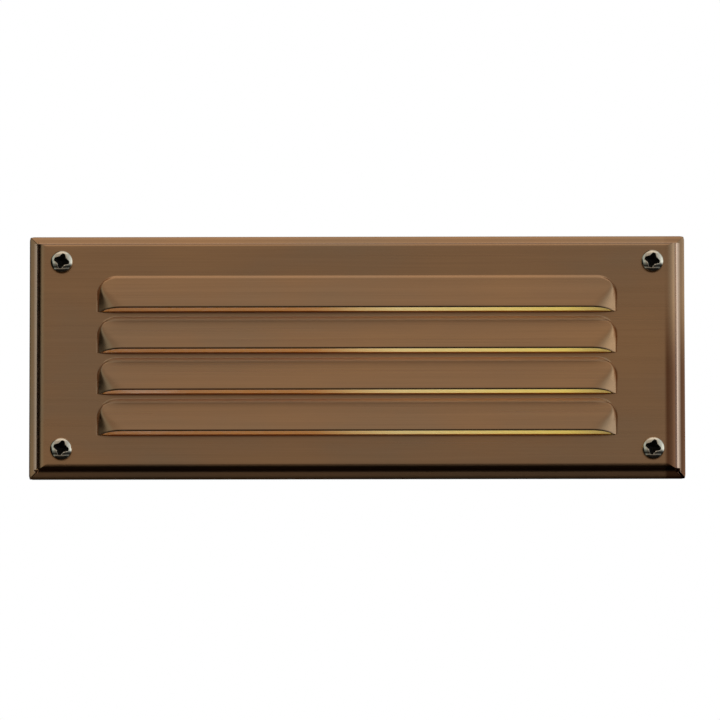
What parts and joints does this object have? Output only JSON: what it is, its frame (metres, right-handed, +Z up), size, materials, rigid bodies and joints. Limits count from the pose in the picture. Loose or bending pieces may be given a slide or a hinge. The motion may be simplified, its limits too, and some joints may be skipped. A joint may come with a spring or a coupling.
{
  "type": "step light",
  "caption": "Recessed louvred step light for a brick wall: hooded bronze face plate, glass lens, wedge lamp and reflector in a cast housing.",
  "frame": {"origin": "centre of the wall opening, in the plane of the wall's face", "axes": "+X to the right along the plate seen from the front, +Y into the wall, +Z up"},
  "size_m": [0.235, 0.0675, 0.0888],
  "materials": {
    "plate_bronze": "brushed and darkened, satin lacquer",
    "screw_steel": "darkened, polished",
    "washer_steel": "plain",
    "housing_cast": "textured dark powder coat",
    "gasket_rubber": "closed-cell sponge",
    "lens_glass": "frosted on the inside",
    "clip_steel": "bright zinc",
    "zinc_fastener": "bright zinc",
    "reflector_aluminium": "bright anodised",
    "bracket_steel": "bright zinc",
    "holder_plastic": "heat-proof, ivory",
    "contact_brass": "nickel wash",
    "terminal_plastic": "natural",
    "lead_red": "silicone insulation",
    "lead_black": "silicone insulation",
    "bulb_glass": "clear",
    "lamp_wire": "nickel",
    "filament_tungsten": "wound wire",
    "plug_plastic": "moulded",
    "o_ring_rubber": "nitrile"
  },
  "bodies": {
    "housing": {"housing": "housing_cast", "rim_gasket": "gasket_rubber", "reflector": "reflector_aluminium", "reflector_screws": "zinc_fastener", "lampholder_bracket": "bracket_steel", "bracket_screws": "zinc_fastener", "lampholder": "holder_plastic", "lampholder_contacts": "contact_brass", "terminal_block": "terminal_plastic", "terminal_sleeves": "contact_brass", "terminal_screws": "zinc_fastener", "terminal_block_screw": "zinc_fastener", "lead_supply": "lead_red", "lead_return": "lead_black"},
    "plate": {"face_plate": "plate_bronze", "lens_glass": "lens_glass", "lens_gasket": "gasket_rubber", "lens_clips": "clip_steel", "clip_studs": "zinc_fastener", "clip_nuts": "zinc_fastener"},
    "lamp": {"lamp_bulb": "bulb_glass", "lamp_supports": "lamp_wire", "lamp_filament": "filament_tungsten", "lamp_base_wires": "lamp_wire"},
    "plug_ring": {"plug_o_ring": "o_ring_rubber"},
    "plug": {"entry_plug": "plug_plastic"},
    "washer_top_left": {"retaining_washer_top_left": "washer_steel"},
    "screw_top_left": {"face_screw_top_left": "screw_steel"},
    "washer_top_right": {"retaining_washer_top_right": "washer_steel"},
    "screw_top_right": {"face_screw_top_right": "screw_steel"},
    "washer_bottom_left": {"retaining_washer_bottom_left": "washer_steel"},
    "screw_bottom_left": {"face_screw_bottom_left": "screw_steel"},
    "washer_bottom_right": {"retaining_washer_bottom_right": "washer_steel"},
    "screw_bottom_right": {"face_screw_bottom_right": "screw_steel"}
  },
  "joints": [
    {"name": "plate_lift", "type": "slide", "parent": "housing", "child": "plate", "axis": [0, -1, 0], "range_m": [0, 0.06]},
    {"name": "lamp_pull", "type": "slide", "parent": "housing", "child": "lamp", "axis": [1, 0, 0], "range_m": [0, 0.012]},
    {"name": "plug_out", "type": "slide", "parent": "housing", "child": "plug_ring", "axis": [-1, 0, 0], "range_m": [0, 0.011]},
    {"name": "plug_turn", "type": "hinge", "parent": "plug_ring", "child": "plug", "pos_m": [-0.1095, 0.027, 0], "axis": [-1, 0, 0], "range_deg": [0, 2180]},
    {"name": "screw_out_top_left", "type": "slide", "parent": "plate", "child": "washer_top_left", "axis": [0, -1, 0], "range_m": [0, 0.0066]},
    {"name": "screw_turn_top_left", "type": "hinge", "parent": "washer_top_left", "child": "screw_top_left", "pos_m": [-0.1059, 0, 0.0342], "axis": [0, -1, 0], "range_deg": [0, 2994]},
    {"name": "screw_out_top_right", "type": "slide", "parent": "plate", "child": "washer_top_right", "axis": [0, -1, 0], "range_m": [0, 0.0066]},
    {"name": "screw_turn_top_right", "type": "hinge", "parent": "washer_top_right", "child": "screw_top_right", "pos_m": [0.1059, 0, 0.0342], "axis": [0, -1, 0], "range_deg": [0, 2994]},
    {"name": "screw_out_bottom_left", "type": "slide", "parent": "plate", "child": "washer_bottom_left", "axis": [0, -1, 0], "range_m": [0, 0.0066]},
    {"name": "screw_turn_bottom_left", "type": "hinge", "parent": "washer_bottom_left", "child": "screw_bottom_left", "pos_m": [-0.1059, 0, -0.0342], "axis": [0, -1, 0], "range_deg": [0, 2994]},
    {"name": "screw_out_bottom_right", "type": "slide", "parent": "plate", "child": "washer_bottom_right", "axis": [0, -1, 0], "range_m": [0, 0.0066]},
    {"name": "screw_turn_bottom_right", "type": "hinge", "parent": "washer_bottom_right", "child": "screw_bottom_right", "pos_m": [0.1059, 0, -0.0342], "axis": [0, -1, 0], "range_deg": [0, 2994]}
  ],
  "couplings": [
    {"joint": "plug_out", "follows": "plug_turn", "m_per_rad": 0.00028875},
    {"joint": "screw_turn_top_left", "follows": "screw_out_top_left", "rad_per_m": 7915.8},
    {"joint": "screw_turn_top_right", "follows": "screw_out_top_right", "rad_per_m": 7915.8},
    {"joint": "screw_turn_bottom_left", "follows": "screw_out_bottom_left", "rad_per_m": 7915.8},
    {"joint": "screw_turn_bottom_right", "follows": "screw_out_bottom_right", "rad_per_m": 7915.8}
  ]
}
